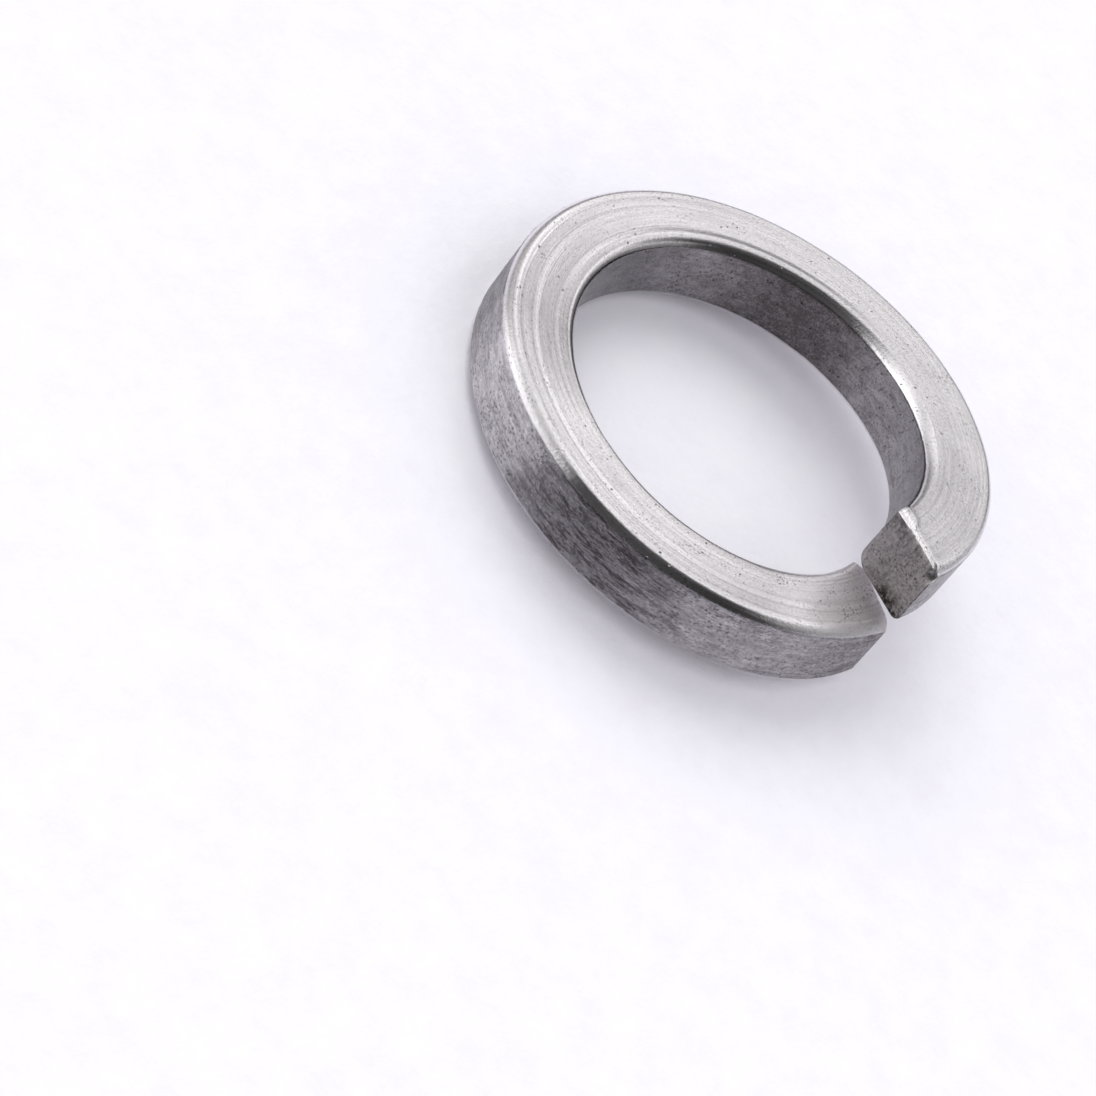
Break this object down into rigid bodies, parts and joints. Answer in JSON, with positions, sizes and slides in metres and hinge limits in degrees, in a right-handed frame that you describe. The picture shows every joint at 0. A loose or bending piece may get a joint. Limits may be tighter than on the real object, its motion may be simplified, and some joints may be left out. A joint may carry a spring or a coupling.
{
  "type": "spring lock washer",
  "caption": "Split spring lock washer of nearly square steel bar, wound left-handed, its slanted sheared ends sprung apart along the bolt's axis.",
  "frame": {"origin": "on the bolt's axis, at the level of the lowest point of the low end", "axes": "+Z along the bolt's axis, from the low end to the raised end; +X from the axis through the slit"},
  "size_m": [0.0172, 0.0172, 0.0055],
  "materials": {
    "steel": "satin drawn steel with fine scratches along the bar, small pits and bright burnished edges"
  },
  "bodies": {
    "root": {"washer": "steel"}
  },
  "joints": []
}
